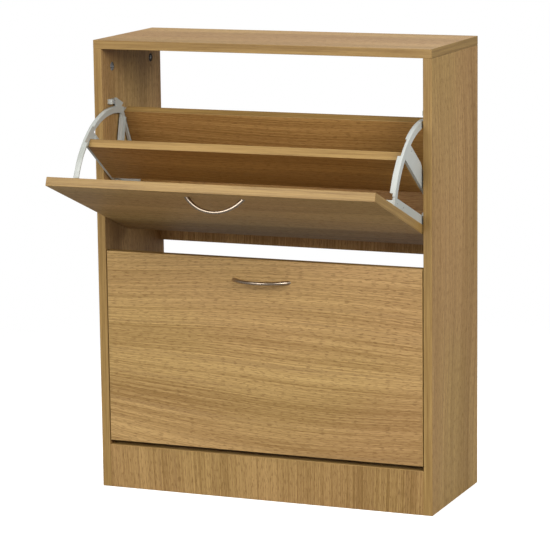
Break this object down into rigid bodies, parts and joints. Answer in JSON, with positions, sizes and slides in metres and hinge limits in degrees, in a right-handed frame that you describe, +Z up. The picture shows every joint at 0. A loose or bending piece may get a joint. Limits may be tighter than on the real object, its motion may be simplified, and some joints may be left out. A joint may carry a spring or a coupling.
{
  "type": "shoe cabinet",
  "caption": "Slim wooden shoe cabinet with front flaps that tip open on pins, slanted shelves between moulded side brackets, bow handles and a plinth.",
  "frame": {"origin": "on the floor, at the middle of the plinth's front bottom edge, in the plane of the closed fronts", "axes": "+X to the cabinet's right as seen from the front, +Y from the front to the wall, +Z up"},
  "size_m": [0.6, 0.4588, 0.77],
  "materials": {
    "oak_board": "chipboard with a fine-grained light oak foil, satin",
    "grey_plastic": "light grey injection-moulded plastic, matte",
    "satin_nickel": "satin nickel",
    "zinc_plated_steel": "bright zinc plate",
    "beech_dowel": "bare fluted beech"
  },
  "bodies": {
    "carcass": {"left_side_panel": "oak_board", "right_side_panel": "oak_board", "top_panel": "oak_board", "plinth": "oak_board", "bottom_panel": "oak_board", "back_rail": "oak_board", "cam_locks": "zinc_plated_steel", "cam_bolts": "zinc_plated_steel", "dowels": "beech_dowel", "stop_screws": "zinc_plated_steel", "lower_left_pivot_pin": "zinc_plated_steel", "lower_left_stop_block": "grey_plastic", "lower_right_pivot_pin": "zinc_plated_steel", "lower_right_stop_block": "grey_plastic", "upper_left_pivot_pin": "zinc_plated_steel", "upper_left_stop_block": "grey_plastic", "upper_right_pivot_pin": "zinc_plated_steel", "upper_right_stop_block": "grey_plastic"},
    "upper_flap": {"upper_front_panel": "oak_board", "upper_handle": "satin_nickel", "upper_handle_screws": "zinc_plated_steel", "upper_right_bracket": "grey_plastic", "upper_left_bracket": "grey_plastic", "upper_middle_shelf": "oak_board", "upper_rear_shelf": "oak_board", "upper_bottom_shelf": "oak_board", "upper_bracket_screws": "zinc_plated_steel"},
    "lower_flap": {"lower_front_panel": "oak_board", "lower_handle": "satin_nickel", "lower_handle_screws": "zinc_plated_steel", "lower_right_bracket": "grey_plastic", "lower_left_bracket": "grey_plastic", "lower_middle_shelf": "oak_board", "lower_rear_shelf": "oak_board", "lower_bottom_shelf": "oak_board", "lower_bracket_screws": "zinc_plated_steel"}
  },
  "joints": [
    {"name": "upper_flap_hinge", "type": "hinge", "parent": "carcass", "child": "upper_flap", "pos_m": [0, 0.029, 0.49], "axis": [1, 0, 0], "range_deg": [-69, 0]},
    {"name": "lower_flap_hinge", "type": "hinge", "parent": "carcass", "child": "lower_flap", "pos_m": [0, 0.029, 0.15499], "axis": [1, 0, 0], "range_deg": [0, 69]}
  ]
}
